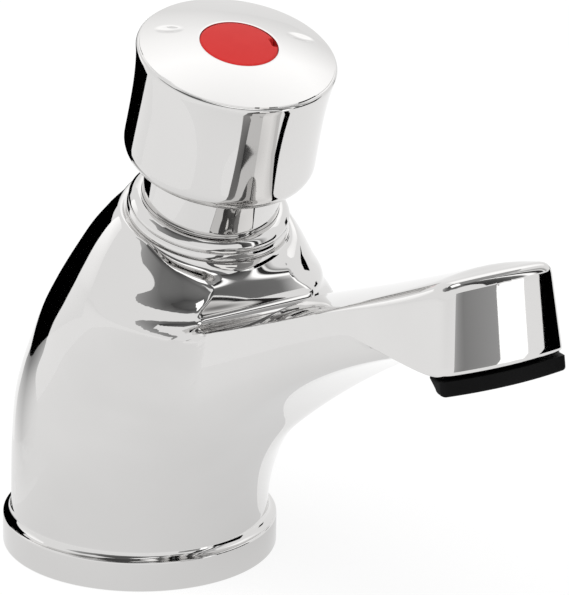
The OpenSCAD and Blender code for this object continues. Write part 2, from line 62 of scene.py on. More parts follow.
# %% [markdown]
# ## The camera
# A camera is three directions and a place. The eye stands a metre from the tap, a little above it and
# round to its right, with a long lens, as a catalogue photograph is taken. The three directions are the
# columns of the camera's matrix: right, up and back.

# %% The camera at the photograph's viewing angle
IMAGE_W, IMAGE_H = 569, 595
AIM = np.array([20.0, 0.0, 50.0])
EYE_DISTANCE = 1000.0
AZIMUTH, ELEVATION, ROLL = np.radians([57.896, 21.158, 0.418])
FOCAL_PX = 5642.2
AIM_PX = np.array([199.28, 316.07])

eye_back = np.array([np.sin(AZIMUTH) * np.cos(ELEVATION), -np.cos(AZIMUTH) * np.cos(ELEVATION),
                     np.sin(ELEVATION)])
level_right = np.array([np.cos(AZIMUTH), np.sin(AZIMUTH), 0.0])
level_up = np.cross(eye_back, level_right)
eye_right = level_right * np.cos(ROLL) + level_up * np.sin(ROLL)
eye_up = level_up * np.cos(ROLL) - level_right * np.sin(ROLL)
eye = AIM + eye_back * EYE_DISTANCE

# The lens is turned so that the middle of the picture is straight ahead, and needs no shift
across = (IMAGE_W / 2 - AIM_PX[0]) / FOCAL_PX
upward = (AIM_PX[1] - IMAGE_H / 2) / FOCAL_PX
back = eye_back - across * eye_right - upward * eye_up
back /= np.linalg.norm(back)
right = eye_right - back * (eye_right @ back)
right /= np.linalg.norm(right)
up = np.cross(back, right)

lens = bpy.data.cameras.new("tap_camera")
lens.sensor_width = 36.0
# The sensor's width goes with the picture's longer side, its height
lens.lens = FOCAL_PX * lens.sensor_width / IMAGE_H
lens.clip_end = 20.0
camera = bpy.data.objects.new("tap_camera", lens)
bpy.context.collection.objects.link(camera)
matrix = np.eye(4)
matrix[:3, :3] = np.stack([right, up, back], 1)
matrix[:3, 3] = eye * MM
camera.matrix_world = matrix.T.tolist()
bpy.context.scene.camera = camera
print("lens in mm:", round(lens.lens, 1), "eye in mm:", np.round(eye, 1).tolist())

# %% [markdown]
# ## From grids of points to a closed skin
# A grid of points is an array of shape (rows, columns, 3). Neighbouring points make four-sided faces, so
# a whole surface needs no loop over its vertices. Several grids that share their border points become
# one closed skin once the doubles are merged. The normals are recalculated after that, and an edge
# sharper than a given angle stays crisp.

# %% A helper that makes one mesh from grids
# Points closer than this are one point, faces thinner than this go, and edges sharper than this stay crisp
DOUBLES, SLIVERS, CRISP = 0.0004 * MM, 0.0001 * MM, 40.0


def skin(name, grids, crisp=CRISP):
    """One object from grids of points in mm.

    Each cell of a grid is a face, doubles are merged and the normals point out."""
    faces, start = [], 0
    for grid in grids:
        rows, cols = grid.shape[:2]
        index = np.arange(rows * cols).reshape(rows, cols) + start
        around = [index[:-1, :-1], index[:-1, 1:], index[1:, 1:], index[1:, :-1]]
        faces.append(np.stack(around, -1).reshape(-1, 4))
        start += rows * cols
    points = np.concatenate([grid.reshape(-1, 3) for grid in grids]) * MM
    mesh = bpy.data.meshes.new(name)
    mesh.from_pydata(points.tolist(), [], np.concatenate(faces).tolist())
    shell = bmesh.new()
    shell.from_mesh(mesh)
    bmesh.ops.remove_doubles(shell, verts=shell.verts, dist=DOUBLES)
    bmesh.ops.dissolve_degenerate(shell, edges=shell.edges, dist=SLIVERS)
    bmesh.ops.recalc_face_normals(shell, faces=shell.faces)
    open_edges = sum(not edge.is_manifold for edge in shell.edges)
    shell.to_mesh(mesh)
    shell.free()
    mesh.shade_smooth()
    mesh.set_sharp_from_angle(angle=np.radians(crisp))
    piece = bpy.data.objects.new(name, mesh)
    bpy.context.collection.objects.link(piece)
    print(name, "faces:", len(mesh.polygons), "open edges:", open_edges)
    return piece


# %% [markdown]
# ## The head's leaning axis
# The neck, the collar and the button are turned on a lathe about one axis that leans 16 degrees towards
# the spout. A turned piece is a profile of (radius, height along the axis) carried round that axis. Real
# turned edges are never knife-sharp, so each corner of a profile gets a small arc.

# %% Turning a profile about an axis
LEAN = np.radians(16.0)
HEAD_X = 2.35
HEAD_N = np.array([np.sin(LEAN), 0.0, np.cos(LEAN)])
HEAD_E = np.array([np.cos(LEAN), 0.0, -np.sin(LEAN)])
SIDE = np.array([0.0, 1.0, 0.0])


def on_head(radius, angle, height):
    """Point at this radius, angle and height about the leaning axis: height along it, radius across it."""
    radius, angle, height = np.broadcast_arrays(radius, angle, height)
    out = np.cos(angle)[..., None] * HEAD_E + np.sin(angle)[..., None] * SIDE
    return np.array([HEAD_X, 0, 0]) + height[..., None] * HEAD_N + radius[..., None] * out


def on_base(radius, angle, height):
    """Point at this radius, angle and height about the upright axis of the base and the tail."""
    radius, angle, height = np.broadcast_arrays(radius, angle, height)
    return np.stack([radius * np.cos(angle), radius * np.sin(angle), height], -1)


def eased(corners, steps):
    """Closed profile with an arc at each corner.

    Corners are (radius, height, ease), and ease is how far the arc reaches along both sides. Each arc is
    the quadratic curve between the ends of that reach that the corner draws out."""
    corners = np.asarray(corners, float)
    here, ease = corners[:, :2], corners[:, 2:]
    before = np.roll(here, 1, 0) - here
    after = np.roll(here, -1, 0) - here
    span_before = np.linalg.norm(before, axis=1, keepdims=True)
    span_after = np.linalg.norm(after, axis=1, keepdims=True)
    reach = np.minimum(ease, 0.49 * np.minimum(span_before, span_after))
    first = here + before / span_before * reach
    last = here + after / span_after * reach
    s = np.linspace(0, 1, steps + 1)[None, :, None]
    arcs = (1 - s) ** 2 * first[:, None] + 2 * s * (1 - s) * here[:, None] + s ** 2 * last[:, None]
    return np.concatenate([arcs.reshape(-1, 2), arcs[0, :1]])


def turned(place, profile, count):
    """Profile of (radius, height) carried once round an axis, as one grid."""
    angle = np.linspace(0, 2 * np.pi, count + 1)
    return place(profile[:, :1], angle[None, :], profile[:, 1:])


# %% [markdown]
# ## The cast body
# The body is one casting: a round foot, a bell that leans back and then forward to the turret, a flat
# sided spout that springs out of the bell, and a scoop between turret and spout. Its level outlines
# follow one formula whose numbers change with the height, so the skin is a function of two parameters:
# the level v and the direction a round the outline. The same shares drive the solid of the frame.

# %% The level outlines of the body
BASE_H, FOOT_R, TURRET_R, TURRET_T = 5.8, 23.5, 14.6, 72.5
REACH, OUTLET_Z, OUTLET_L, NOSE_H = 114.8, 72.0, 12.4, 17.0
NOSE_LEAN, SPOUT_W, NOSE_DRAFT, NOSE_BOW = np.radians(8.0), 27.6, 0.15, 62.0
SCOOP_X, SCOOP_Z, RISE = 38.5, 57.9, np.tan(np.radians(22.8))
SEAM_X, SEAM_Z = HEAD_X + TURRET_T * np.sin(LEAN), TURRET_T * np.cos(LEAN)
ARCH_X, NOSE_TOP, SCOOP_FOOT = REACH - OUTLET_L, OUTLET_Z + NOSE_H, SCOOP_X + 6.5
TOP_RUN = REACH - 1.6 - SCOOP_FOOT
CURL = (NOSE_TOP - SCOOP_Z - RISE * TOP_RUN) / TOP_RUN ** 2
# The outlet's front corner along x and z, and the rise of the underside towards it
CORNER_X, CORNER_Z, UNDER_RISE = 1.1, 1.15, 0.25
# Direction in degrees at which the flat side ends and the round of the front starts
SIDE_A, SIDE_COS = 45, np.cos(np.pi / 4)

# Height share, half width, centre towards the seam, back radius, reach of the flank, its fullness
BELL = np.array([
    [0, 1, 0, 1, 6.8, 2], [0.22, 1, 0.018, 1, 3, 2], [0.36, 0.99, 0.067, 1, 1.97, 2],
    [0.47, 1.01, 0.179, 0.92, 1.55, 1.8], [0.55, 1.01, 0.313, 0.975, 1.41, 1.6],
    [0.67, 1.01, 0.537, 1.067, 1.22, 1.25], [0.755, 0.96, 0.734, 1.189, 1.13, 1],
    [0.817, 0.85, 0.815, 1.081, 1.09, 0.5], [0.864, 0.708, 0.82, 0.84, 1.03, 0.5],
    [0.942, 0.427, 0.815, 0.4, 1.02, 0.5], [1.005, 0.135, 0.815, -0.03, 0.99, 0.5],
    [1.068, -0.236, 0.851, -0.28, 1.04, 0.5], [1.4, -0.29, 0.9, -0.3, 1.08, 0.5]])


def smooth(u):
    """Eases from 0 to 1 with level ends."""
    u = np.clip(u, 0, 1)
    return u * u * (3 - 2 * u)


def along(share, column):
    """Smooth curve through one column of the bell's rows: cubic pieces whose slopes are central differences."""
    s, y = BELL[:, 0], BELL[:, column]
    lower, upper = np.maximum(np.arange(len(s)) - 1, 0), np.minimum(np.arange(len(s)) + 1, len(s) - 1)
    slope = (y[upper] - y[lower]) / (s[upper] - s[lower])
    i = np.clip(np.searchsorted(s, share) - 1, 0, len(s) - 2)
    h = s[i + 1] - s[i]
    v = (share - s[i]) / h
    return (y[i] * (1 + 2 * v) * (1 - v) ** 2 + slope[i] * h * v * (1 - v) ** 2
            + y[i + 1] * v * v * (3 - 2 * v) + slope[i + 1] * h * v * v * (v - 1))


def level(v):
    """Front, height and squareness of level v.

    From 0 to 1 the level goes up the arch, to 2 along the outlet, to 3 round its corner and to 4 up the nose.
    Up the arch the front runs out with the square of the height, and a little further half way. The
    squareness grows from 2, an ellipse, to 20 at the outlet and falls to 16 at the nose."""
    h = np.clip(v, 0, 1)
    front = FOOT_R + (ARCH_X - FOOT_R) * h * h * (1 + 0.6 * (1 - h) ** 2)
    z = BASE_H + (OUTLET_Z - BASE_H) * h
    square = 2 + 18 * h ** 2.7 - 4 * np.clip((v - 1) / 2, 0, 1)
    floor = np.clip(v - 1, 0, 1)
    turn = np.clip(v - 2, 0, 1) * np.pi / 2
    # The last level is 1 mm above the nose, and the crease cuts the skin off below it
    climb = np.clip(v - 3, 0, 1) * (NOSE_H - 0.4)
    front = front + floor * (OUTLET_L - CORNER_X) + CORNER_X * np.sin(turn) - np.tan(NOSE_LEAN) * climb
    z = z + UNDER_RISE * floor + CORNER_Z * (1 - np.cos(turn)) + climb
    return front, z, square


def spine(v):
    """Values of the outline at level v, from the bell's curves at the height's share of the way to the seam.

    Half width, centre, back radius, reach of the flank, its fullness, end of the side, spout's half width."""
    front, z, square = level(v)
    share = (z - BASE_H) / (SEAM_Z - BASE_H)
    half = TURRET_R + (FOOT_R - TURRET_R) * along(share, 1)
    centre = SEAM_X * along(share, 2)
    rear = TURRET_R + (FOOT_R - TURRET_R) * along(share, 3)
    side_end = (0.85 + 0.1 * np.clip(v, 0, 1) ** 3) * (np.minimum(front, ARCH_X) - centre) / (front - centre)
    flat = SPOUT_W / 2 * (1 - NOSE_DRAFT * np.maximum(0, z - OUTLET_Z) / NOSE_H)
    return half, centre, rear, half * along(share, 4), along(share, 5), side_end, flat


def outline(v, a):
    """Point of the near half of the skin at level v and direction a, 0 in front and 180 degrees behind.

    Behind, the outline is half an ellipse. In front, the flank's half width fades into the spout's flat
    side along x, and a power curve of the level's squareness rounds the end. The nose's face is a shallow
    arc."""
    front, z, square = level(v)
    half, centre, rear, flank, full, side_end, flat = spine(v)
    turn = np.radians(a)
    front_run = 1 - (1 - side_end) * (np.minimum(a, SIDE_A) / SIDE_A) ** square
    run = np.where(a > SIDE_A, side_end * np.cos(turn) / SIDE_COS, front_run)
    x = centre + (front - centre) * run
    bulge = np.maximum(0, 1 - np.minimum(1, (x - centre) / flank) ** 2) ** full
    spout = 1 - (1 - smooth((x - SCOOP_X) / 5)) * smooth((z - SCOOP_Z + 2.9) / 3)
    end = np.maximum(0, 1 - np.abs(run) ** square) ** (1 / square)
    y = end * np.maximum(1, half * bulge + flat * (1 - bulge) * spout)
    x = x - y ** 2 / (2 * NOSE_BOW) * smooth((x - front + 17) / 14) * smooth(v)
    behind = a > 90
    x = np.where(behind, centre + rear * np.cos(turn), x)
    y = np.where(behind, half * np.sin(turn), y)
    return np.stack(np.broadcast_arrays(x, -y, z), -1)


LEVELS = np.concatenate([np.linspace(k, k + 1, n)[min(k, 1):] for k, n in enumerate((400, 40, 60, 200))])
LEVEL_Z = level(LEVELS)[1]
print("heights of the skin:", round(LEVEL_Z[0], 2), "to", round(LEVEL_Z[-1], 2))


# %% [markdown]
# ### The crease
# One line runs round the top of the skin: behind the turret it lies on the leaning seam, then it drops
# along the ridge to the throat of the scoop, turns out again, and follows the spout's upper edge round
# the nose. Columns of the skin hang from this line down to the foot, so the crease is always an edge of
# the grid and the chrome breaks cleanly there.

# %% The crease from the back of the turret to the nose
def seam_height(x):
    """Height of the leaning seam plane over x."""
    return SEAM_Z - (x - SEAM_X) * np.tan(LEAN)


def spout_top(x):
    """Height of the spout's upper edge over x: a rising line with a slight upward curl."""
    return SCOOP_Z + RISE * (x - SCOOP_FOOT) + CURL * (x - SCOOP_FOOT) ** 2


def level_of(z):
    """Level whose height is z."""
    return np.interp(z, LEVEL_Z, LEVELS)


def direction_of(x, z):
    """Direction a at which the outline of height z passes x, the inverse of the outline's run."""
    v = level_of(z)
    front, _, square = level(v)
    _, centre, _, _, _, side_end, _ = spine(v)
    run = (x - centre) / (front - centre)
    wide = np.degrees(np.arccos(np.clip(run * SIDE_COS / side_end, -1, 1)))
    narrow = SIDE_A * np.clip((1 - run) / (1 - side_end), 0, 1) ** (1 / square)
    return np.where(run < side_end, wide, narrow)


def meet(a, rule, z):
    """Heights at which the columns a meet the line z = rule(x), by repeated averaging."""
    z = np.full_like(a, z)
    for _ in range(60):
        z = (z + rule(outline(level_of(z), a)[..., 0])) / 2
    return z


def even(points, count):
    """Parameters that space count points evenly along a polyline."""
    length = np.concatenate([[0], np.cumsum(np.linalg.norm(np.diff(points, axis=0), axis=1))])
    return np.interp(np.linspace(0, length[-1], count), length, np.arange(len(points)))


def pick(values, where):
    """Values at fractional places along an array."""
    return np.interp(where, np.arange(len(values)), values)


RIDGE_X, LEDGE_X = SEAM_X + 3.7, SCOOP_X - 1.2
LEDGE_Z = seam_height(SEAM_X + TURRET_R * np.cos(LEAN)) - 3.8
NOSE_X = 96.5
# The throat's round, along x and z, and where the straight rise begins
THROAT_X, THROAT_Z, RISE_X = 3, 2, 43
SEAM_GUESS, NOSE_GUESS = 70.0, 85.0

sweep = np.linspace(180, 60, 300)
sweep_z = meet(sweep, seam_height, SEAM_GUESS)
ridge_a = np.interp(RIDGE_X, outline(level_of(sweep_z), sweep)[:, 0], sweep)
a_seam = np.linspace(180, ridge_a, 71)
z_seam = meet(a_seam, seam_height, SEAM_GUESS)

x_ridge = np.linspace(RIDGE_X, LEDGE_X, 22)[1:]
z_ridge = np.interp(x_ridge, [RIDGE_X, LEDGE_X], [seam_height(RIDGE_X), LEDGE_Z])

cove = np.radians(np.linspace(0, 60, 25))
cove_x = SCOOP_X + THROAT_X - THROAT_X * np.cos(cove)
cove_z = spout_top(SCOOP_X + THROAT_X) + THROAT_Z - THROAT_Z * np.sin(cove)
rise_x = np.linspace(RISE_X, NOSE_X, 80)
slide = np.stack([np.concatenate([[LEDGE_X], cove_x, rise_x]),
                  np.concatenate([[LEDGE_Z], cove_z, spout_top(rise_x)])], 1)
place = even(slide, 110)[1:]
x_slide, z_slide = pick(slide[:, 0], place), pick(slide[:, 1], place)

x_top, z_top = np.concatenate([x_ridge, x_slide]), np.concatenate([z_ridge, z_slide])
a_top = direction_of(x_top, z_top)

SIDE_ROWS, FRONT_ROWS = 18, 16
a_nose = np.linspace(a_top[-1], 0, 400)
z_nose = meet(a_nose, spout_top, NOSE_GUESS)
nose_line = outline(level_of(z_nose), a_nose)
corner = int(np.argmax(nose_line[:, 0] - 0.9 * nose_line[:, 1]))
along_side = even(nose_line[:corner + 1], SIDE_ROWS + 1)[1:]
along_front = corner + even(nose_line[corner:], FRONT_ROWS + 1)[1:]
nose_place = np.concatenate([along_side, along_front])

crease_a = np.concatenate([a_seam, a_top, pick(a_nose, nose_place)])
crease_z = np.concatenate([z_seam, z_top, pick(z_nose, nose_place)])
crease = outline(level_of(crease_z), crease_a)
THROAT = len(a_seam) + len(x_ridge) - 1
NOSE = len(a_seam) + len(a_top) - 1
CORNER = NOSE + SIDE_ROWS
print("crease points:", len(crease), "throat:", np.round(crease[THROAT], 1),
      "corner:", np.round(crease[CORNER], 1))

# %% [markdown]
# ### The top between the creases
# Three patches close the top. A skirt falls from the turret's edge to the crease and the throat, as a
# cove cut by a ball-nosed tool would. The spout's top is a strip of cross rows with a low crown, which
# starts at the scoop and ends at the nose. At the nose the strip has to turn the corner, so it is a Coons
# patch: the sum of the two ways to rule it between its four borders, less the flat patch through its
# corners. Along the crease an arc joins top and flank; it is half a millimetre wide at the scoop, as a
# polished casting shows, and nearly three at the nose.

# %% The patches of the top
ROW = 16
# Reach of the arc along the crease: at the scoop, what the nose adds to it, and at the seam
ARC_SCOOP, ARC_NOSE, ARC_SEAM = 0.45, 2.3, 0.6
SPOUT_CROWN_X, SPOUT_CROWN_H = 47.5, 3.4
reach = ARC_SCOOP + ARC_NOSE * smooth((crease[:, 0] - 78) / 28)
reach[:len(a_seam)] = ARC_SEAM
angle = np.arctan2(crease[:, 1], (crease - on_head(0.0, 0.0, TURRET_T)) @ HEAD_E)
turret_edge = on_head(TURRET_R, angle[:THROAT + 1], TURRET_T)
gap = np.linalg.norm(turret_edge - crease[:THROAT + 1], axis=1)
reach[:THROAT + 1] = np.minimum(reach[:THROAT + 1], 0.45 * gap)


def crown(x):
    """Height of the spout's crown over its edges: it starts at the scoop, falls slowly and ends at the nose."""
    height = SPOUT_CROWN_H - 1.7 * (x - SPOUT_CROWN_X) / 60
    return smooth((x - SPOUT_CROWN_X) / 14) * smooth((REACH - 2.4 - x) / 5.5) * height


def cross_row(k, u):
    """Row across the spout's top at crease point k: a parabola over a straight line.

    u goes from 0 at the edge to 1 in the middle, where the row is as high as the crown."""
    edge = crease[k]
    y = edge[..., 1] * (1 - u)
    z = edge[..., 2] + crown(edge[..., 0]) * (1 - (1 - u) ** 2)
    return np.stack(np.broadcast_arrays(edge[..., 0], y, z), -1)


strip = np.arange(THROAT, NOSE + 1)
inset = (reach[strip] / -crease[strip, 1])[:, None]
share = np.linspace(0, 1, ROW + 1)[None, :]
top_strip = cross_row(strip[:, None], inset + (1 - inset) * share)

# Nose patch from its four borders, as functions of u across and s along
s = np.linspace(0, 1, SIDE_ROWS + 1)
u = np.linspace(0, 1, FRONT_ROWS + 1)
side_border = crease[NOSE:CORNER + 1, :2]
front_border = crease[CORNER:, :2]
inner = reach[-1]
u_in = np.interp(s, [0, 1], [reach[NOSE] / -side_border[0, 1], inner / -front_border[0, 1]])
s_in = s * (1 - inner / (crease[-1, 0] - NOSE_X))
uu = u_in[:, None] + (1 - u_in[:, None]) * u[None, :]
ss = np.repeat(s_in[:, None], FRONT_ROWS + 1, 1)
side_at = np.stack([np.interp(ss, s, side_border[:, i]) for i in (0, 1)], -1)
front_at = np.stack([np.interp(uu, u, front_border[:, i]) for i in (0, 1)], -1)
middle_at = np.stack([NOSE_X + (crease[-1, 0] - NOSE_X) * ss, 0 * ss], -1)
first_at = np.stack([NOSE_X + 0 * uu, side_border[0, 1] * (1 - uu)], -1)
corners = (((1 - uu) * (1 - ss))[..., None] * side_border[0] + ((1 - uu) * ss)[..., None] * side_border[-1]
           + (uu * (1 - ss))[..., None] * [NOSE_X, 0] + (uu * ss)[..., None] * [crease[-1, 0], 0])
plan = ((1 - uu)[..., None] * side_at + uu[..., None] * middle_at + (1 - ss)[..., None] * first_at
        + ss[..., None] * front_at - corners)
bow = 1 - (1 - uu) ** 2
nose_patch = np.concatenate([plan, (spout_top(plan[..., 0]) + crown(plan[..., 0]) * bow)[..., None]], -1)

# Points just inside the crease, where the arc meets the top
toward = (turret_edge - crease[:THROAT + 1]) / gap[:, None]
inside = np.concatenate([crease[:THROAT] + toward[:-1] * reach[:THROAT, None], top_strip[:, 0],
                         nose_patch[1:, 0], nose_patch[-1, 1:]])

# Skirt: cubic curves that leave the turret along its axis and arrive along the seam or down the scoop
rim = np.concatenate([inside[:THROAT], top_strip[0]])
rim_angle = np.concatenate([angle[:THROAT], np.linspace(angle[THROAT], 0, ROW + 1)])
start = on_head(TURRET_R, rim_angle, TURRET_T)
fall = np.linalg.norm(rim - start, axis=1)[:, None]
downhill = smooth((np.arange(len(rim)) - len(a_seam) + 1) / (THROAT - len(a_seam) + 1))[:, None]
inward = -(np.cos(rim_angle)[:, None] * HEAD_E + np.sin(rim_angle)[:, None] * SIDE)
arrive = (1 - downhill) * inward + downhill * np.array([-0.33, 0.0, 0.94])
q = np.linspace(0, 1, 17)[:, None, None]
leave = start - HEAD_N * fall * np.where(downhill > 0, 0.42, 0.35)
land = rim + arrive * fall * 0.4
skirt = (1 - q) ** 3 * start + 3 * q * (1 - q) ** 2 * leave + 3 * q * q * (1 - q) * land + q ** 3 * rim
print("skirt:", skirt.shape, "strip:", top_strip.shape, "nose:", nose_patch.shape)

# %% [markdown]
# ### The flanks, the foot and the closed casting
# The columns run from the arc under the crease down to the foot, where the wall flares out into a cove
# that meets the ring. Half the body is enough: the other half is its mirror image in the plane of the
# spout. The bores for the cartridge, the tail and the outlet are cut with Boolean modifiers, as a
# machinist bores the raw casting, and the modifiers are applied so that the finished mesh stands alone.

# %% The skin of the casting
COVE_H, COVE_R = 1.56, 1.3
BODY_CRISP = 50
flank_top = level_of(crease_z - 0.8 * reach)
cove_level = level_of(BASE_H + COVE_H)
bend = np.linspace(0, np.pi / 2, 9)[:, None]
flank_levels = [np.repeat(cove_level * (1 - np.cos(bend)), len(crease), 1)]
for low, high, count in ((cove_level, 1, 75), (1, 2, 4), (2, 3, 6), (3, 4, 16)):
    step = np.linspace(0, 1, count + 1)[1:, None]
    climbing = low + (np.minimum(flank_top, high) - low) * step
    flank_levels.append(np.where(flank_top > low, climbing, flank_top))
flank_levels = np.concatenate(flank_levels)
flank = outline(flank_levels, crease_a[None, :])
lift = np.clip((flank[..., 2] - BASE_H) / COVE_H, 0, 1)
flare = COVE_R * (1 - np.sqrt(np.maximum(0, 1 - (1 - lift) ** 2)))
flank[..., :2] *= (1 + flare / np.linalg.norm(flank[..., :2], axis=-1))[..., None]

w = np.linspace(0, 1, 7)[:, None, None]
arc = (1 - w) ** 2 * flank[-1] + 2 * w * (1 - w) * crease + w ** 2 * inside

SPIGOT_R, SPIGOT_Z = 20.95, 1.0
foot = flank[0]
foot_angle = np.arctan2(foot[:, 1], foot[:, 0])
under = np.stack([foot, on_base(SPIGOT_R, foot_angle, BASE_H), on_base(SPIGOT_R, foot_angle, SPIGOT_Z),
                  on_base(0.0, foot_angle, SPIGOT_Z)])
lid = np.stack([start, on_head(0.0, rim_angle, TURRET_T)])
half_body = [flank, arc, skirt, top_strip, nose_patch, under, lid]
MIRROR = np.array([1, -1, 1])
body_skin = skin("body_casting", half_body + [grid * MIRROR for grid in half_body], BODY_CRISP)

# %% The bores of the casting
def cut(piece, name, grids):
    """Cuts a closed tool out of a piece with an exact Boolean, applied at once, and removes the tool."""
    tool = skin(name, grids)
    modifier = piece.modifiers.new(name, "BOOLEAN")
    modifier.object = tool
    modifier.solver = "EXACT"
    graph = bpy.context.evaluated_depsgraph_get()
    cut_mesh = bpy.data.meshes.new_from_object(piece.evaluated_get(graph))
    piece.modifiers.clear()
    old = piece.data
    piece.data = cut_mesh
    bpy.data.meshes.remove(old)
    bpy.data.objects.remove(tool)


def bore(place, steps):
    """Closed stepped cylinder from its axis and back to it: steps are (radius, height) from bottom to top."""
    profile = np.array([(0, steps[0][1]), *steps, (0, steps[-1][1])], float)
    return [turned(place, profile, 96)]


OUTLET_X = 106.7


def on_outlet(radius, angle, height):
    """Point about the upright axis of the outlet."""
    return on_base(radius, angle, height) + np.array([OUTLET_X, 0, 0])


cut(body_skin, "head_bore", bore(on_head, [
    (7.6, 16.0), (7.6, 30.0), (10.15, 30.0), (10.15, 64.0),
    (11.15, 64.0), (11.15, 71.2), (12.35, 71.2), (12.35, 74.0)]))
cut(body_skin, "tail_bore", bore(on_base, [(10.53, 0.0), (10.53, 14.0), (7.5, 14.0), (7.5, 26.0)]))
cut(body_skin, "outlet_bore", bore(on_outlet, [(4.55, 71.0), (4.55, 81.0)]))


def plate_reach(angle, length, width, square=14):
    """Distance from the middle of a rounded rectangle to its edge.

    It is the radius of a power curve: the shares of length and width, each to a high power, add up to one."""
    ends, sides = np.abs(np.cos(angle)) / length, np.abs(np.sin(angle)) / width
    return (ends ** square + sides ** square) ** (-1 / square)


POCKET_L, POCKET_W, POCKET_LOW, POCKET_TOP = 5.45, 8.55, 70.0, 73.55
turns = np.linspace(0, 2 * np.pi, 193)
pocket_reach = plate_reach(turns, POCKET_L, POCKET_W)
cut(body_skin, "outlet_pocket", [np.stack([on_outlet(share * pocket_reach, turns, height) for share, height in (
    (0.0, POCKET_LOW), (1.0, POCKET_LOW), (1.0, POCKET_TOP), (0.0, POCKET_TOP))])])
body_skin.data.shade_smooth()
body_skin.data.set_sharp_from_angle(angle=np.radians(BODY_CRISP))
print("casting faces after boring:", len(body_skin.data.polygons))

# %% [markdown]
# ## The turned chrome pieces
# The ring under the foot, the collar with its two beads, the neck and the push button all come off a
# lathe before they are plated. Each is one closed profile. The button is a cup: its wall is drawn in a
# little and then flares to the rim, its lower edge is rolled round, and its crown is a slice of a large
# sphere with a recess for the coloured disc.

# %% Ring, collar and neck
FINE = 288


def lathe(name, place, corners, count=FINE, steps=5, crisp=CRISP):
    """One turned piece from the corners of its closed profile, each (radius, height, ease)."""
    return skin(name, [turned(place, eased(corners, steps), count)], crisp)


ring = lathe("base_ring_turned", on_base, [
    (21, 0, 0.2), (25, 0, 0.5), (25, BASE_H, 0.45), (21, BASE_H, 0.1)])
collar = lathe("collar_turned", on_head, [
    (12.25, TURRET_T, 0.02), (14.3, TURRET_T, 0.3), (14.5, 73.3, 0.7), (14.2, 74.1, 0.3), (13.95, 74.2, 0.05),
    (14.25, 74.35, 0.3), (14.35, 75.1, 0.7), (13.6, 76.1, 0.6), (12.75, 76.5, 0.3), (12.25, 76.5, 0.02)],
    steps=8, crisp=60)
neck = lathe("neck_sleeve_turned", on_head, [
    (8, 64, 0.1), (11.1, 64, 0.3), (11.1, TURRET_T, 0.05), (12.2, TURRET_T, 0.05), (12.2, 95.9, 0.4),
    (9, 95.9, 0.3), (9, 93.8, 0.05), (9.6, 93.8, 0.05), (9.6, 92.9, 0.05), (9, 92.9, 0.05), (9, 84.9, 0.05),
    (8, 84.9, 0.05)], count=192)

# %% The push button with two shallow dimples
CAP_T0, RIM_T, RIM_R, CAP_R, CROWN = 83.9, 106.6, 17.6, 16.9, 2.3
CROWN_R = (RIM_R ** 2 + CROWN ** 2) / (2 * CROWN)
DISC_R, DISC_H = 6.85, 1.9
CAP_ROLL, CAP_WALL, WALL_TOP, WAIST, FLARE = 3.5, 18.5, 105.9, 0.12, 0.7
# Inside the cup: roof and wall, boss, spindle's hole, screw's hole and the seat of its head
ROOF_T, INNER_R, BOSS_T, BOSS_R, HOLE_R = 102.6, 12.55, 99.6, 5, 2.52
SCREW_R, HEAD_R, HEAD_T = 1.6, 3.5, 104.4


def crown_t(r):
    """Height of the button's crown at radius r, a slice of a sphere."""
    return RIM_T + CROWN - CROWN_R + np.sqrt(CROWN_R ** 2 - r ** 2)


disc_t0 = crown_t(DISC_R) - DISC_H
roll = np.linspace(0, np.pi / 2, 13)
lower_edge = np.stack([CAP_R - CAP_ROLL * (1 - np.sin(roll)), CAP_T0 + CAP_ROLL * (1 - np.cos(roll))], 1)
climb = np.linspace(0, 1, 25)[1:]
wall_r = CAP_R - WAIST * np.sin(np.pi * climb) + FLARE * climb ** 4
wall = np.stack([wall_r, CAP_T0 + CAP_ROLL + CAP_WALL * climb], 1)
lip = np.linspace(0, np.pi / 2, 7)[1:]
rim_edge = np.stack([RIM_R - 0.5 * (1 - np.cos(lip)), WALL_TOP + 0.62 * np.sin(lip)], 1)
dome_r = np.linspace(RIM_R - 0.55, DISC_R + 0.35, 60)
dome = np.stack([dome_r, crown_t(dome_r)], 1)
recess = np.array([
    (6.93, crown_t(6.93) - 0.06), (6.9, crown_t(6.9) - 0.35), (6.9, disc_t0), (HEAD_R, disc_t0),
    (HEAD_R, HEAD_T), (SCREW_R, HEAD_T), (SCREW_R, ROOF_T), (HOLE_R, ROOF_T), (HOLE_R, BOSS_T),
    (BOSS_R, BOSS_T), (BOSS_R, ROOF_T), (INNER_R, ROOF_T), (INNER_R, CAP_T0)])
button_profile = np.concatenate([lower_edge, wall, rim_edge, dome, recess, lower_edge[:1]])
button_grid = turned(on_head, button_profile, FINE)


def dimple(grid, centre_angle, radius, length, width, depth, turn):
    """Sinks an oval hollow into the crown: a bell of the oval distance, pushed down the axis."""
    away = grid - on_head(radius, centre_angle, crown_t(radius))
    e, y = away @ HEAD_E, away @ SIDE
    long, short = e * np.cos(turn) + y * np.sin(turn), y * np.cos(turn) - e * np.sin(turn)
    far = (long / length) ** 2 + (short / width) ** 2
    near_top = np.abs(away @ HEAD_N) < 1.2
    return grid - (near_top * depth * np.clip(1 - far, 0, 1) ** 1.5)[..., None] * HEAD_N


for centre_angle in np.radians((-135.0, 88.0)):
    button_grid = dimple(button_grid, centre_angle, radius=12.5, length=2.6, width=1.3, depth=0.28,
                         turn=np.radians(59))
button = skin("push_button", [button_grid], crisp=45)

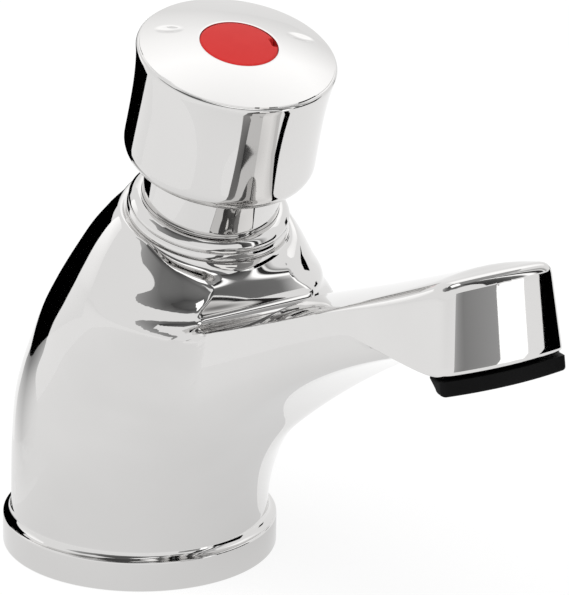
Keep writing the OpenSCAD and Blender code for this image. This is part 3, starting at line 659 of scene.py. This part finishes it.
# %% The coloured disc with its pry notch
NOTCH, NOTCH_HALF, NOTCH_IN, NOTCH_SLOPE = np.radians(76.0), 1.25, 1.1, 0.25
disc_r = DISC_R * np.linspace(1, 0, 30) ** 0.8
disc_edge = 0.22 * np.clip((disc_r - 6.4) / 0.45, 0, 1) ** 2
disc_top = np.stack([disc_r, crown_t(disc_r) - 0.05 - disc_edge], 1)
disc_foot = [[0, disc_t0 + 0.02], [DISC_R - 0.1, disc_t0 + 0.02], [DISC_R, disc_t0 + 0.15]]
disc_grid = turned(on_head, np.concatenate([disc_foot, disc_top]), FINE)
from_notch = disc_grid - on_head(DISC_R, NOTCH, crown_t(DISC_R))
notch_out = np.cos(NOTCH) * HEAD_E + np.sin(NOTCH) * SIDE
notch_side = np.cross(HEAD_N, notch_out)
in_width = np.clip(NOTCH_HALF - np.abs(from_notch @ notch_side), 0, NOTCH_SLOPE) / NOTCH_SLOPE
in_notch = in_width * np.clip((from_notch @ notch_out + NOTCH_IN) / 0.3, 0, 1)
upper = disc_grid @ HEAD_N - on_head(0.0, 0.0, disc_t0 + 0.6) @ HEAD_N
disc_grid = disc_grid - (np.maximum(0, upper) * in_notch)[..., None] * HEAD_N
disc = skin("indicator_disc_moulded", [disc_grid], crisp=45)

# %% [markdown]
# ## The outlet
# A black moulded plate closes the underside of the nose. A nozzle stands up from it into the casting, and
# a lip hangs down across the front edge, so that the last drops fall clear of the chrome. The plate and
# its nozzle are one closed ring: at each angle the section runs from the round bore to the edge of a
# rounded rectangle. The lip is a section carried across the nose, with its two ends rounded off.

# %% The nozzle plate
PLATE_L, PLATE_W, PLATE_LOW, PLATE_TOP = 5.4, 8.5, 71.6, 73.5
BORE_R, TUBE_R, NOZZLE_TOP = 3.6, 4.5, 77.0
plate_edge = plate_reach(turns, PLATE_L, PLATE_W)
plate_rows = [
    (BORE_R, 71.7), (BORE_R, 76.9), (BORE_R + 0.1, NOZZLE_TOP), (TUBE_R - 0.15, NOZZLE_TOP), (TUBE_R, 76.8),
    (TUBE_R, PLATE_TOP), (plate_edge - 0.1, PLATE_TOP), (plate_edge, 73.4), (plate_edge, 71.9),
    (plate_edge - 0.09, 71.69), (plate_edge - 0.3, PLATE_LOW), (BORE_R + 0.15, PLATE_LOW), (BORE_R, 71.7)]
plate_grid = np.stack([on_outlet(radius, turns, height) for radius, height in plate_rows])
outlet_plate = skin("outlet_nozzle_plate", [plate_grid])

# %% The drip lip
# The lip is a real black part, and its near black, almost glossless band along the nose also paints the deep
# shade there.
LIP_W, LIP_FRONT, LIP_BACK, LIP_BOW, LIP_END = 12.4, 115.2, 109.7, 62.0, 0.9
LIP_LOW, LIP_TOP, LIP_ROWS = 69.3, 71.88, 41
# More than any reach of the section, so that the last row of each end shrinks to a point
LIP_CLOSED = 9.0
lip_section = eased([
    (LIP_BACK, LIP_TOP, 0.1), (110.1, PLATE_LOW, 0.15), (112.9, LIP_LOW, 0.5),
    (LIP_FRONT, LIP_LOW, 0.45), (114.7, LIP_TOP, 0.1)], 6)
lip_middle = lip_section[:-1].mean(0)
end_turn = np.linspace(0, np.pi / 2, 8)
lip_y = LIP_W - LIP_END * (1 - np.sin(end_turn))
lip_in = LIP_END * (1 - np.cos(end_turn))
lip_run = np.linspace(LIP_W - LIP_END, LIP_END - LIP_W, LIP_ROWS)[1:-1]
lip_y = np.concatenate([[LIP_W], lip_y[::-1], lip_run, -lip_y, [-LIP_W]])
lip_in = np.concatenate([[LIP_CLOSED], lip_in[::-1], np.zeros(LIP_ROWS - 2), lip_in, [LIP_CLOSED]])
from_middle = lip_section - lip_middle
lip_reach = np.linalg.norm(from_middle, axis=1, keepdims=True)
lip_rows = lip_middle + from_middle / lip_reach * np.maximum(lip_reach - lip_in[:, None, None], 0)
lip_bow = LIP_BOW - np.sqrt(LIP_BOW ** 2 - lip_y ** 2)
lip_x = lip_rows[..., 0] - lip_bow[:, None] * (lip_rows[..., 0] - LIP_BACK) / (LIP_FRONT - LIP_BACK)
lip_grid = np.stack(np.broadcast_arrays(lip_x, lip_y[:, None], lip_rows[..., 1]), -1)
drip_lip = skin("outlet_drip_lip", [lip_grid])

# %% [markdown]
# ## The threaded tail
# Under the deck a brass tail carries a half-inch pipe thread for the back nut and the supply hose. A
# thread is a ridge that climbs one pitch in each turn, so the outer wall is a tube whose radius depends
# on the height less the turn's share of the pitch. The ridge fades out at the ends of the thread.

# %% The tail with its thread
TAIL_R, PITCH, THREAD_DEPTH = 10.4775, 1.814, 1.16
TAIL_LOW, TAIL_TOP, TAIL_BORE, SEAT_R, SEAT_T = -50.0, 14.0, 6.0, 7.55, -40.0
RELIEF_LOW, RELIEF_TOP, GROOVE_LOW, GROOVE_TOP = -26.0, -24.0, 11.0, 12.3
RELIEF_R, GROOVE_R, END_R = TAIL_R - 1.0, TAIL_R - 1.22, TAIL_R - 1.4
TAIL_COUNT, LOWER_ROWS = 96, 170
tail_turn = np.linspace(0, 2 * np.pi, TAIL_COUNT + 1)
tail_z = np.concatenate([
    np.linspace(-49.2, RELIEF_LOW, LOWER_ROWS), np.linspace(RELIEF_TOP, 0, 176), [GROOVE_LOW]])
tail_turn_share, climb_z = np.meshgrid(tail_turn / (2 * np.pi), tail_z)
wave = np.abs(2 * ((climb_z / PITCH - tail_turn_share) % 1) - 1)
from_end = smooth((climb_z + 49.6) / 1.5)
from_relief = 1 - smooth((climb_z + 28) / 1.5) * (1 - smooth((climb_z + 24) / 1.5))
fade = from_end * from_relief * (1 - smooth((climb_z + 3) / 3))
tail_wall = TAIL_R - THREAD_DEPTH * fade * np.clip(1.25 * (1 - wave) - 0.1, 0, 1)
tail_end = np.array([(END_R, TAIL_LOW)])
relief = np.array([(RELIEF_R, RELIEF_LOW), (RELIEF_R, RELIEF_TOP)])
groove = np.array([
    (GROOVE_R, GROOVE_LOW), (GROOVE_R, GROOVE_TOP), (TAIL_R, GROOVE_TOP), (TAIL_R, 13.6),
    (TAIL_R - 0.4, TAIL_TOP), (TAIL_BORE, TAIL_TOP), (TAIL_BORE, SEAT_T), (SEAT_R, SEAT_T),
    (SEAT_R, TAIL_LOW), (END_R, TAIL_LOW)])
tail_grid = np.concatenate([
    turned(on_base, tail_end, TAIL_COUNT),
    on_base(tail_wall[:LOWER_ROWS], tail_turn, climb_z[:LOWER_ROWS]),
    turned(on_base, relief, TAIL_COUNT),
    on_base(tail_wall[LOWER_ROWS:], tail_turn, climb_z[LOWER_ROWS:]),
    turned(on_base, groove, TAIL_COUNT)])
tail = skin("inlet_tail_threaded", [tail_grid])

# %% [markdown]
# ## The return spring
# Inside the head a coil of stainless wire pushes the button back up. A coil is a small circle carried along a
# helix, and its two ends are closed by shrinking the circle to a point.

# %% The coil of the return spring
SPRING_T0, SPRING_L, SPRING_R, WIRE_R, SPRING_TURNS, STROKE = 35.58, 16.84, 7.0, 0.6, 6, 6.0
coil = np.linspace(0, 2 * np.pi * SPRING_TURNS, 48 * SPRING_TURNS + 1)
coil = np.concatenate([coil[:1], coil, coil[-1:]])
coil_t = SPRING_T0 + WIRE_R + (SPRING_L - 2 * WIRE_R) * coil / coil[-1]
wire = np.full(len(coil), WIRE_R)
wire[[0, -1]] = 0
round_wire = np.linspace(0, 2 * np.pi, 17)
wire_out, wire_up = wire[:, None] * np.cos(round_wire), wire[:, None] * np.sin(round_wire)
spring_grid = on_head(SPRING_R + wire_out, coil[:, None], coil_t[:, None] + wire_up)
spring = skin("return_spring_coiled", [spring_grid], crisp=60)

# %% [markdown]
# ## What moves with what
# Each new piece stands for one solid of the frame, which is then hidden, and rides on the body that the solid
# belongs to. The outlet's two pieces stand for one solid together. The button and its disc ride on the push
# head with the solids that hang on them, and the rest, the spring too, rides on the tap's body.

# %% Tie the pieces to the frame
ties = (
    (body_skin, "tap_body", "body", "chrome_plate"), (ring, "tap_body", "base_ring", "chrome_plate"),
    (collar, "tap_body", "collar", "chrome_plate"), (neck, "tap_body", "neck_sleeve", "chrome_plate"),
    (button, "push_head", "push_cap", "chrome_plate"), (disc, "push_head", "indicator_disc", "plastic_red"),
    (outlet_plate, "tap_body", "outlet_insert", "plastic_black"),
    (drip_lip, "tap_body", "outlet_insert", "plastic_black"),
    (tail, "tap_body", "inlet_tail", "brass"), (spring, "tap_body", "return_spring", "stainless"))
for piece, body, node, slot in ties:
    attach(piece, body)
    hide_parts(node)
    print(piece.name, "rides on", body, "and stands for", node)
spring_foot = on_head(0.0, 0.0, SPRING_T0) * MM
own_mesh(spring)

# %% [markdown]
# ## The finishes
# Each finish starts from the real material and how its surface was made. A noise in the piece's own
# Object coordinates moves the colour and the roughness a little, as real surfaces do, and a second one
# raises a faint bump. Its scale is one over the size of the pattern, in metres.

# %% Helpers for materials
BUMP_DEPTH = 0.05 * MM
WHITE = (1.0, 1.0, 1.0, 1.0)


def linear(hex_colour):
    """Turns an sRGB hex colour to linear red, green, blue and alpha 1."""
    value = np.array([int(hex_colour[i:i + 2], 16) for i in (1, 3, 5)]) / 255
    value = np.where(value <= 0.04045, value / 12.92, ((value + 0.055) / 1.055) ** 2.4)
    return (*value.tolist(), 1.0)


def add(tree, kind, links=None, **settings):
    """Adds a node: settings are its properties or input sockets, links are input socket to output socket."""
    node = tree.nodes.new(kind)
    for key, value in settings.items():
        socket = key.replace("_", " ").title().replace("Ior", "IOR")
        if socket in node.inputs:
            node.inputs[socket].default_value = value
        else:
            setattr(node, key, value)
    for key, output in (links or {}).items():
        tree.links.new(output, node.inputs[key])
    return node


def emptied(owner):
    """Node tree of a material or of the world, cleared for new nodes."""
    owner.use_nodes = True
    owner.node_tree.nodes.clear()
    return owner.node_tree


def finish(name, tones, rough, grain_mm, bump_mm, bump, metallic=0.0, stretch=(1, 1, 1), **shader):
    """A material from two tones and two roughnesses that a noise mixes, and a bump of another size."""
    material = bpy.data.materials.new(name)
    tree = emptied(material)
    place = add(tree, "ShaderNodeTexCoord")
    spread = add(tree, "ShaderNodeMapping", {"Vector": place.outputs["Object"]}, scale=stretch)
    mottle = add(tree, "ShaderNodeTexNoise", {"Vector": spread.outputs[0]}, scale=1 / (grain_mm * MM),
                 detail=3.0, roughness=0.55)
    tint = add(tree, "ShaderNodeMix", {"Factor": mottle.outputs["Fac"]}, data_type="RGBA")
    # A colour mix has its two colours in sockets 6 and 7, and its result in output 2
    tint.inputs[6].default_value, tint.inputs[7].default_value = linear(tones[0]), linear(tones[1])
    gloss = add(tree, "ShaderNodeMapRange", {"Value": mottle.outputs["Fac"]}, to_min=rough[0], to_max=rough[1])
    fine = add(tree, "ShaderNodeTexNoise", {"Vector": spread.outputs[0]}, scale=1 / (bump_mm * MM), detail=2.0)
    bumps = add(tree, "ShaderNodeBump", {"Height": fine.outputs["Fac"]}, strength=bump, distance=BUMP_DEPTH)
    surface = add(tree, "ShaderNodeBsdfPrincipled", {
        "Base Color": tint.outputs[2], "Roughness": gloss.outputs[0], "Normal": bumps.outputs[0]},
        metallic=metallic, **shader)
    add(tree, "ShaderNodeOutputMaterial", {"Surface": surface.outputs[0]})
    return material


# %% The finish of each slot
finishes = {
    # Decorative chrome over polished cast brass: a neutral grey mirror, with the faint waviness that hand
    # polishing leaves on a casting and a slight haze where it has been wiped
    "chrome_plate": finish("bright_chrome_on_polished_brass", ("#DCDBDA", "#D6D5D4"), (0.02, 0.045), 18, 7,
                           metallic=1.0, bump=0.004),
    # Turned brass, not plated: warm yellow with rings of fine tool marks across the axis
    "brass": finish("turned_bare_brass", ("#CFA458", "#B98A3F"), (0.22, 0.36), 0.9, 0.35,
                    metallic=1.0, stretch=(0.3, 0.3, 4), bump=0.25),
    # Moulded nitrile rubber: near black and matt, with a dusty mottle
    "rubber_black": finish("moulded_nitrile_rubber", ("#1B1B1C", "#262627"), (0.62, 0.8), 1.6, 0.4, bump=0.3),
    # Injection-moulded black ABS: a satin spark texture that only shows in a raking light. Its very dark tone
    # and low gloss also paint the deep shade under the nose, where it covers the outlet plate and lip
    "plastic_black": finish("moulded_black_abs", ("#050505", "#0A0A0B"), (0.35, 0.5), 1.2, 0.3,
                            bump=0.15, specular_ior_level=0.1),
    # Injection-moulded red ABS: even colour with faint flow marks and a soft gloss
    "plastic_red": finish("moulded_red_abs", ("#CE302D", "#C82C2A"), (0.3, 0.4), 2.5, 0.35,
                          bump=0.1, specular_ior_level=0.1),
    # Moulded grey polypropylene: slightly waxy
    "plastic_grey": finish("moulded_grey_polypropylene", ("#A2A6AA", "#989CA0"), (0.4, 0.55), 1.5, 0.4,
                           bump=0.15),
    # Turned acetal: milky white with fine tool marks
    "acetal_white": finish("turned_white_acetal", ("#E8E7E0", "#DEDCD3"), (0.35, 0.5), 1.2, 0.3,
                           stretch=(0.3, 0.3, 3), bump=0.2),
    # Drawn stainless steel wire and strip: bright grey with fine draw lines
    "stainless": finish("drawn_stainless_steel", ("#BBBCBF", "#A9ABAE"), (0.18, 0.32), 0.8, 0.3,
                        metallic=1.0, stretch=(3, 0.4, 0.4), bump=0.2)}

slots = {row["node"]: row["material_slot"] for row in frame["record"]["subparts"]}
for piece, body, node, slot in ties:
    piece.data.materials.append(finishes[slot])
for node, solid in nodes.items():
    for place_in_solid in solid.material_slots:
        place_in_solid.material = finishes[slots[node]]
print("finishes:", len(finishes), "solids dressed:", len(nodes))

# %% [markdown]
# ## The studio
# A mirror shows its surroundings, so bright metal is lit by what stands round it. The world is white for
# the camera and for reflections, and the floor is nearly white, with a share of plain paint in it that
# keeps the soft shadow under the tap. A large soft lamp gives the other finishes their shape.

# %% World, floor and lamp
SKY_LIGHT, SKY_SHOWN = 0.7, 1.0
FLOOR_Z, FLOOR_SIZE, FLOOR_PAINT, FLOOR_GLOW = -0.03, 3000.0, 0.2, 1.04
world = bpy.data.worlds.new("white_studio")
bpy.context.scene.world = world
sky = emptied(world)
ray = add(sky, "ShaderNodeLightPath")
shown = ray.outputs["Is Camera Ray"]
for kind in ("Is Glossy Ray", "Is Transmission Ray"):
    shown = add(sky, "ShaderNodeMath", {0: shown, 1: ray.outputs[kind]}, operation="MAXIMUM").outputs[0]
power = add(sky, "ShaderNodeMapRange", {"Value": shown}, to_min=SKY_LIGHT, to_max=SKY_SHOWN)
dome_light = add(sky, "ShaderNodeBackground", {"Strength": power.outputs[0]}, color=WHITE)
add(sky, "ShaderNodeOutputWorld", {"Surface": dome_light.outputs[0]})

floor_side = np.linspace(-FLOOR_SIZE, FLOOR_SIZE, 3)
side_x, side_y = np.meshgrid(floor_side, floor_side)
floor = skin("floor", [np.stack([side_x, side_y, np.full_like(side_x, FLOOR_Z)], -1)])
paint = bpy.data.materials.new("white_painted_table")
coat = emptied(paint)
glow = add(coat, "ShaderNodeEmission", color=WHITE, strength=FLOOR_GLOW)
matt = add(coat, "ShaderNodeBsdfDiffuse", color=WHITE)
blend = add(coat, "ShaderNodeMixShader", {1: glow.outputs[0], 2: matt.outputs[0]}, fac=FLOOR_PAINT)
add(coat, "ShaderNodeOutputMaterial", {"Surface": blend.outputs[0]})
floor.data.materials.append(paint)

soft = bpy.data.lights.new("soft_box", "AREA")
soft.shape, soft.size, soft.size_y, soft.energy = "RECTANGLE", 1.2, 0.8, 7.0
soft_box = bpy.data.objects.new("soft_box", soft)
bpy.context.collection.objects.link(soft_box)
soft_box.location = (0.25, -0.5, 1.1)
soft_box.rotation_euler = (0.42, 0.22, 0.0)
soft_box.visible_glossy = False
bpy.context.scene.view_settings.view_transform = "Standard"

# %% [markdown]
# ### Cards and flags
# A photographer shapes bright metal with panels that stand just outside the picture: white cards give broad
# lights, black flags give the dark lines that draw an edge. Here the panels glow with a set brightness, light
# nothing and show only in mirrors, so they are painted reflections: the bright ones paint highlights, the dark
# ones paint dark lines and shade. Each one has four corners and a small grid of brightnesses that is spread
# over it. A brightness of one is the white of the studio, so a panel that ends on one melts into it.

# %% Panels that only mirrors see
painted_reflection_look = bpy.data.materials.new("painted_reflection_panel")
panel_tree = emptied(painted_reflection_look)
panel_tone = add(panel_tree, "ShaderNodeAttribute", attribute_name="tone")
panel_glow = add(panel_tree, "ShaderNodeEmission", {"Strength": panel_tone.outputs["Fac"]})
add(panel_tree, "ShaderNodeOutputMaterial", {"Surface": panel_glow.outputs[0]})
PANEL_STEPS = np.linspace(0, 1, 25)
BLACK = [[0, 0], [0, 0]]


def panel(name, corners, tones):
    """A panel from four corners in mm, in order round it.

    Its place and its brightness are both mixed linearly from side to side."""
    # The panel glows but lights nothing, and only mirror rays see it: a painted reflection.
    first, second, third, fourth = np.asarray(corners, float)
    s, t = PANEL_STEPS[None, :, None], PANEL_STEPS[:, None, None]
    card = skin(name, [(1 - t) * ((1 - s) * first + s * second) + t * ((1 - s) * fourth + s * third)])
    tones = np.asarray(tones, float)
    rows = np.stack([np.interp(PANEL_STEPS, np.linspace(0, 1, len(row)), row) for row in tones])
    spread = np.stack([np.interp(PANEL_STEPS, np.linspace(0, 1, len(tones)), column) for column in rows.T], 1)
    card.data.attributes.new("tone", "FLOAT", "POINT").data.foreach_set("value", spread.ravel())
    card.data.materials.append(painted_reflection_look)
    card.visible_camera = card.visible_diffuse = card.visible_shadow = card.visible_transmission = False


def bent(centre, radius, azimuths, lows, highs):
    """Corners of a panel between two azimuths of an upright cylinder, with its edges' heights at each."""
    x, y = centre + radius * np.cos(np.radians(azimuths)), radius * np.sin(np.radians(azimuths))
    return [(x[k], y[k], edge[k]) for k, edge in ((0, lows), (1, lows), (1, highs), (0, highs))]


def screen(name, centre, radius, azimuths, lows, highs, tones):
    """A bent panel that stands on an upright cylinder: one flat panel between each two azimuths."""
    for i in range(len(azimuths) - 1):
        two = slice(i, i + 2)
        panel(name + "_" + str(i), bent(centre, radius, azimuths[two], lows[two], highs[two]),
              [row[two] for row in tones])


def lying(x_low, x_high, y_low, y_high, z):
    """Corners of a level rectangle."""
    return [(x_low, y_low, z), (x_high, y_low, z), (x_high, y_high, z), (x_low, y_high, z)]


def standing(x, y_low, y_high, z_low, z_high):
    """Corners of a rectangle that stands across the spout's direction."""
    return [(x, y_low, z_low), (x, y_high, z_low), (x, y_high, z_high), (x, y_low, z_high)]


# Behind the tap: a black panel that paints the dark reflections on the left edges, with a glowing panel on its
# right that paints highlights
BACK_X, BACK_Y = -142, -68
panel("flag_behind", standing(BACK_X, BACK_Y, 65, 0, 112), BLACK)
panel("glow_behind_highlight", standing(BACK_X, -157, BACK_Y, 0, 180), [[1, 1], [1, 1.1], [1.1, 1.45], [1.1, 1.45]])
# On the floor, seen only in mirrors: a grey sheet behind the foot that paints a darker reflection, a soft grey
# round the foot that paints the floor's shade under the tap into the chrome, and a black line beyond the spout
panel("sheet_behind", [(BACK_X, -66, 0), (-28, -58, 0), (-28, -20, 0), (BACK_X, -4, 0)],
      [[0.4, 0.7, 0.95, 1], [0.25, 0.5, 0.75, 1], [0.4, 0.7, 0.95, 1]])
panel("painted_shade_round_foot", lying(-60, 110, -115, 30, 0),
      [[1, 1, 1, 1], [1, 0.96, 0.96, 1], [0.96, 0.88, 0.9, 1], [1, 0.78, 0.8, 1]])
panel("sheet_beyond", [(44, 51, 0.02), (125, 55, 0.02), (125, 67, 0.02), (44, 63, 0.02)], BLACK)
# The dark room round the camera, above the edge of the white paper, painted into the reflections only, with one
# glowing panel in it that paints a bright highlight
ROOM_X, ROOM_R, ROOM_TOP = 45, 320, 540
screen("room", ROOM_X, ROOM_R, [240, 262, 285, 310, 332, 360, 400], [330, 252, 232, 250, 285, 265, 290],
       [ROOM_TOP] * 7, [[0.6, 0.4, 0.22, 0.2, 0.25, 0.2, 0.3], [0.35, 0.2, 0.1, 0.06, 0.1, 0.12, 0.2]])
panel("glow_room_highlight", lying(110, 340, -130, 110, 480), [[1.6, 1.6], [1.6, 1.6]])
# Slats of black and glowing white beyond the spout, whose painted reflections break up in the hollow of the
# scoop
screen("slats", ROOM_X, 300, [20, 27, 33, 35, 37, 39, 43, 45, 47, 49, 53, 60], [120] * 12, [430] * 12,
       [[0.05, 0.1, 0.2, 1.5, 1.5, 0.05, 0.02, 1.2, 0.9, 0.3, 0.6, 1]] * 2)
# Overhead: a glowing panel that paints the highlight on the button's crown, and a dark ceiling whose painted
# reflection runs down the button
panel("glow_overhead_highlight", lying(-600, 30, 60, 660, 498),
      [[1.1, 1.25, 1.45, 1.15], [1, 1.15, 1.45, 1.4], [0.95, 1, 1.1, 1.2]])
panel("ceiling", lying(8, 330, -320, 330, 501), [[0.06, 0.06], [0.22, 0.22], [0.45, 0.45]])
# Beyond the nose: grey, then glowing white, then black panels that paint the reflections round its front face,
# and a last black panel behind the neck that paints a dark reflection
NOSE_RING_X, NOSE_RING_R, NOSE_RING_TOP = 113, 200, 95
for name, azimuths, tone in (
        ("card_nose_grey", (0, 30), [0.5, 0.28, 0.4]), ("glow_nose_highlight", (30, 41), [1.6, 1.6]),
        ("flag_nose", (48, 95), [0, 0])):
    panel(name, bent(NOSE_RING_X, NOSE_RING_R, azimuths, (0, 0), (NOSE_RING_TOP, NOSE_RING_TOP)), [tone, tone])
panel("flag_far", bent(ROOM_X, ROOM_R, (99, 107), (52, 52), (100, 100)), BLACK)
